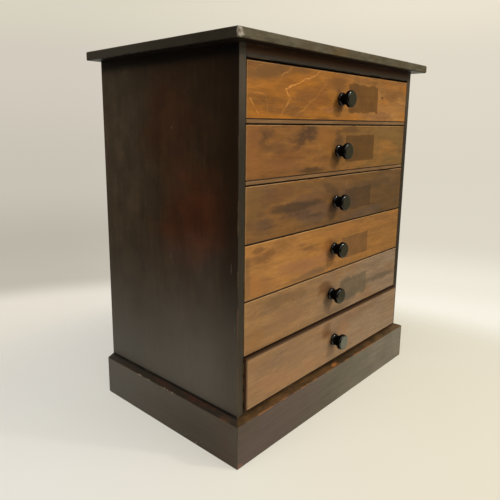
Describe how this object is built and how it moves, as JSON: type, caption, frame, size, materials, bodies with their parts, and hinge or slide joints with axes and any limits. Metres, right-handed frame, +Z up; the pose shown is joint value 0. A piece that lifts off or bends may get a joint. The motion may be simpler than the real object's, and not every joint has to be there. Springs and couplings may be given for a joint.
{
  "type": "specimen cabinet",
  "caption": "Dark stained tabletop specimen cabinet: overhanging top, bevelled plinth and a stack of shallow drawers with turned black knobs, sliding on side runners.",
  "frame": {"origin": "on the floor, under the middle of the whole cabinet's box with its drawers as they rest", "axes": "+X to the right of someone facing the drawers, +Y towards the back, +Z up"},
  "size_m": [0.4194, 0.2628, 0.463],
  "materials": {
    "case_wood": "dark brown-black stained mahogany, worn satin polish",
    "back_wood": "plain brown stained softwood, dull",
    "drawer_lining_wood": "plain planed secondary wood, unpolished",
    "drawer_front_1": "orange-brown satin polish with pale wavy figure",
    "drawer_front_2": "mid brown satin polish with dark clouds",
    "drawer_front_3": "dark brown satin polish with dark streaks",
    "drawer_front_4": "orange-brown satin polish",
    "drawer_front_5": "greenish brown satin polish",
    "drawer_front_6": "even pinkish brown satin polish",
    "knob_black": "ebonised turned wood, gloss black",
    "steel_fixings": "dull aged steel"
  },
  "bodies": {
    "case": {"top_board": "case_wood", "top_rail_front": "case_wood", "top_rail_back": "back_wood", "top_screws": "steel_fixings", "side_left": "case_wood", "side_right": "case_wood", "bottom_board": "case_wood", "back_panel": "back_wood", "back_pins": "steel_fixings", "plinth_front": "case_wood", "plinth_left": "case_wood", "plinth_right": "case_wood", "plinth_back": "back_wood", "glue_blocks": "back_wood", "runners_left": "drawer_lining_wood", "runners_right": "drawer_lining_wood"},
    "drawer_1": {"drawer_1_front": "drawer_front_1", "drawer_1_front_strip": "drawer_front_1", "drawer_1_side_left": "drawer_lining_wood", "drawer_1_side_right": "drawer_lining_wood", "drawer_1_back": "drawer_lining_wood", "drawer_1_bottom": "drawer_lining_wood", "knob_1": "knob_black", "knob_screw_1": "steel_fixings"},
    "drawer_2": {"drawer_2_front": "drawer_front_2", "drawer_2_front_strip": "drawer_front_2", "drawer_2_side_left": "drawer_lining_wood", "drawer_2_side_right": "drawer_lining_wood", "drawer_2_back": "drawer_lining_wood", "drawer_2_bottom": "drawer_lining_wood", "knob_2": "knob_black", "knob_screw_2": "steel_fixings"},
    "drawer_3": {"drawer_3_front": "drawer_front_3", "drawer_3_side_left": "drawer_lining_wood", "drawer_3_side_right": "drawer_lining_wood", "drawer_3_back": "drawer_lining_wood", "drawer_3_bottom": "drawer_lining_wood", "knob_3": "knob_black", "knob_screw_3": "steel_fixings"},
    "drawer_4": {"drawer_4_front": "drawer_front_4", "drawer_4_side_left": "drawer_lining_wood", "drawer_4_side_right": "drawer_lining_wood", "drawer_4_back": "drawer_lining_wood", "drawer_4_bottom": "drawer_lining_wood", "knob_4": "knob_black", "knob_screw_4": "steel_fixings"},
    "drawer_5": {"drawer_5_front": "drawer_front_5", "drawer_5_side_left": "drawer_lining_wood", "drawer_5_side_right": "drawer_lining_wood", "drawer_5_back": "drawer_lining_wood", "drawer_5_bottom": "drawer_lining_wood", "knob_5": "knob_black", "knob_screw_5": "steel_fixings"},
    "drawer_6": {"drawer_6_front": "drawer_front_6", "drawer_6_side_left": "drawer_lining_wood", "drawer_6_side_right": "drawer_lining_wood", "drawer_6_back": "drawer_lining_wood", "drawer_6_bottom": "drawer_lining_wood", "knob_6": "knob_black", "knob_screw_6": "steel_fixings"}
  },
  "joints": [
    {"name": "drawer_1_slide", "type": "slide", "parent": "case", "child": "drawer_1", "axis": [0, -1, 0], "range_m": [0, 0.165]},
    {"name": "drawer_2_slide", "type": "slide", "parent": "case", "child": "drawer_2", "axis": [0, -1, 0], "range_m": [0, 0.165]},
    {"name": "drawer_3_slide", "type": "slide", "parent": "case", "child": "drawer_3", "axis": [0, -1, 0], "range_m": [0, 0.165]},
    {"name": "drawer_4_slide", "type": "slide", "parent": "case", "child": "drawer_4", "axis": [0, -1, 0], "range_m": [0, 0.165]},
    {"name": "drawer_5_slide", "type": "slide", "parent": "case", "child": "drawer_5", "axis": [0, -1, 0], "range_m": [0, 0.165]},
    {"name": "drawer_6_slide", "type": "slide", "parent": "case", "child": "drawer_6", "axis": [0, -1, 0], "range_m": [-0.004, 0.161]}
  ]
}
